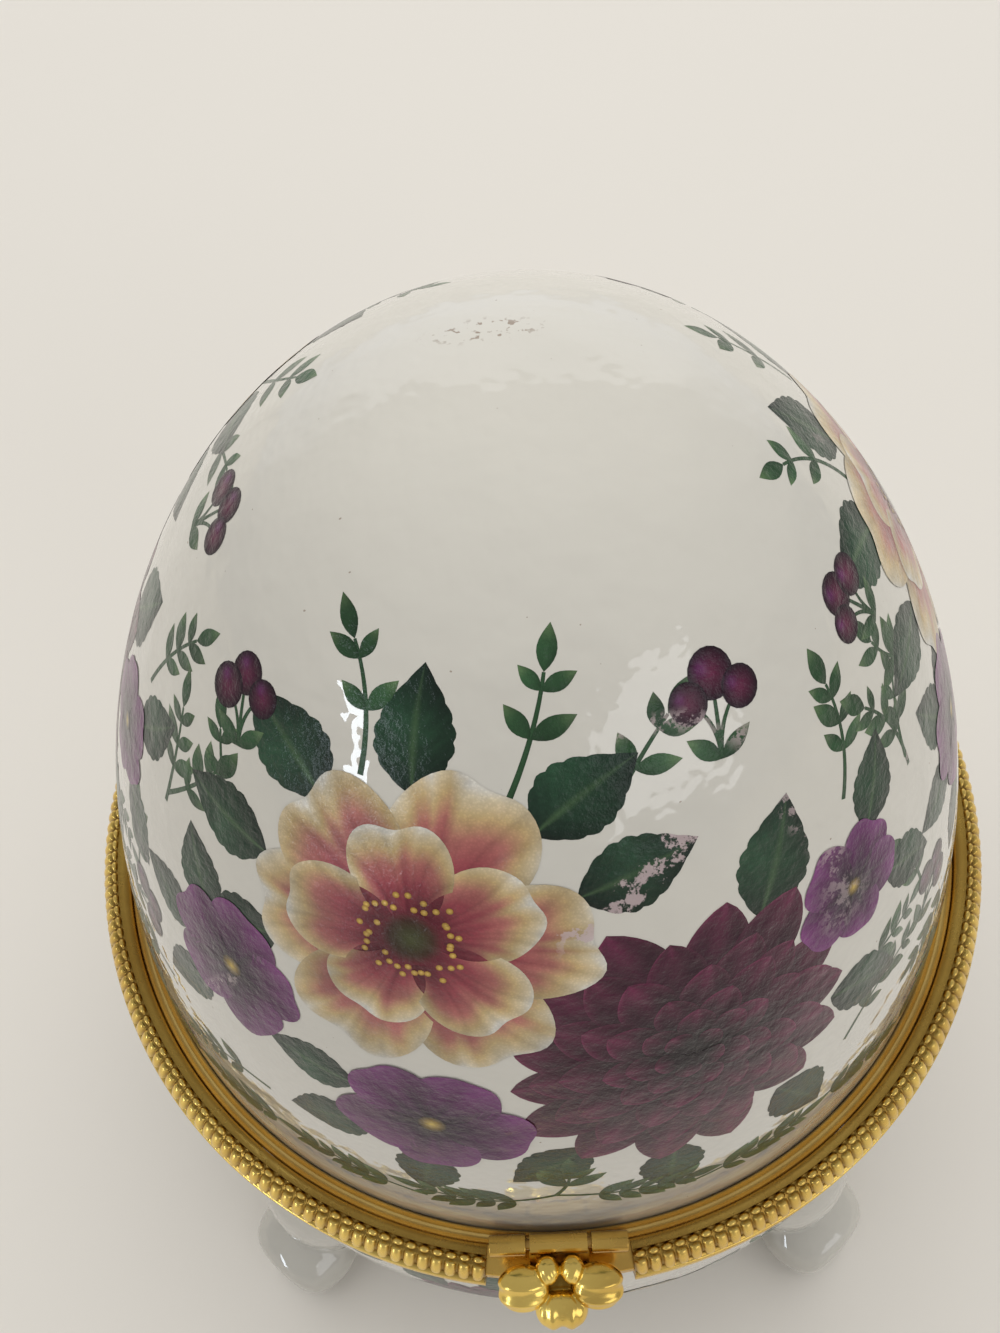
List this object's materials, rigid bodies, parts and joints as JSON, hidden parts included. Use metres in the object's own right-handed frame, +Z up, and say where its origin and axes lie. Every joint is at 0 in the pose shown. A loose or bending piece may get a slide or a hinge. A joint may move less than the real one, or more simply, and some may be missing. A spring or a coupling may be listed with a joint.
{
  "type": "egg jewelry box",
  "caption": "Footed porcelain egg box with a hinged lid, gilt metal collars and a cast flower hasp, for keeping small jewelry.",
  "frame": {"origin": "on the table under the middle of the closed box, which is the egg's axis", "axes": "+Z up along the egg's axis; -Y towards the hasp at the front, +Y towards the hinge; +X to the right seen from the front"},
  "size_m": [0.1064, 0.1164, 0.1394],
  "materials": {
    "lid_porcelain": "clear glossy glaze over white porcelain with a printed floral garland",
    "bowl_porcelain": "clear glossy glaze over white porcelain with a printed floral garland",
    "foot_porcelain": "clear glossy glaze over white porcelain",
    "polished_gilt": "polished gilt, slightly tarnished",
    "ribbed_gilt": "bright gilt with pressed ribs",
    "fitting_gilt": "bright gilt, smooth",
    "cast_gilt": "bright gilt casting",
    "pin_metal": "drawn wire, plain"
  },
  "bodies": {
    "base": {"bowl_shell": "bowl_porcelain", "foot_front_left": "foot_porcelain", "foot_front_right": "foot_porcelain", "foot_rear_left": "foot_porcelain", "foot_rear_right": "foot_porcelain", "base_collar": "polished_gilt", "base_ribbed_band_left": "ribbed_gilt", "base_ribbed_band_right": "ribbed_gilt", "base_hinge_leaf": "fitting_gilt", "hinge_pin": "pin_metal", "catch_plate": "fitting_gilt", "catch_stud": "fitting_gilt"},
    "lid": {"lid_shell": "lid_porcelain", "lid_collar": "polished_gilt", "lid_ribbed_band_left": "ribbed_gilt", "lid_ribbed_band_right": "ribbed_gilt", "lid_hinge_leaf": "fitting_gilt", "clasp_plate": "fitting_gilt", "clasp_pin": "pin_metal"},
    "hasp": {"hasp": "fitting_gilt", "clasp_flower": "cast_gilt"}
  },
  "joints": [
    {"name": "lid_hinge", "type": "hinge", "parent": "base", "child": "lid", "pos_m": [0, 0.0559, 0.064], "axis": [-1, 0, 0], "range_deg": [0, 100]},
    {"name": "hasp_hinge", "type": "hinge", "parent": "lid", "child": "hasp", "pos_m": [0, -0.04954, 0.06896], "axis": [-1, 0, 0], "range_deg": [0, 70]}
  ]
}
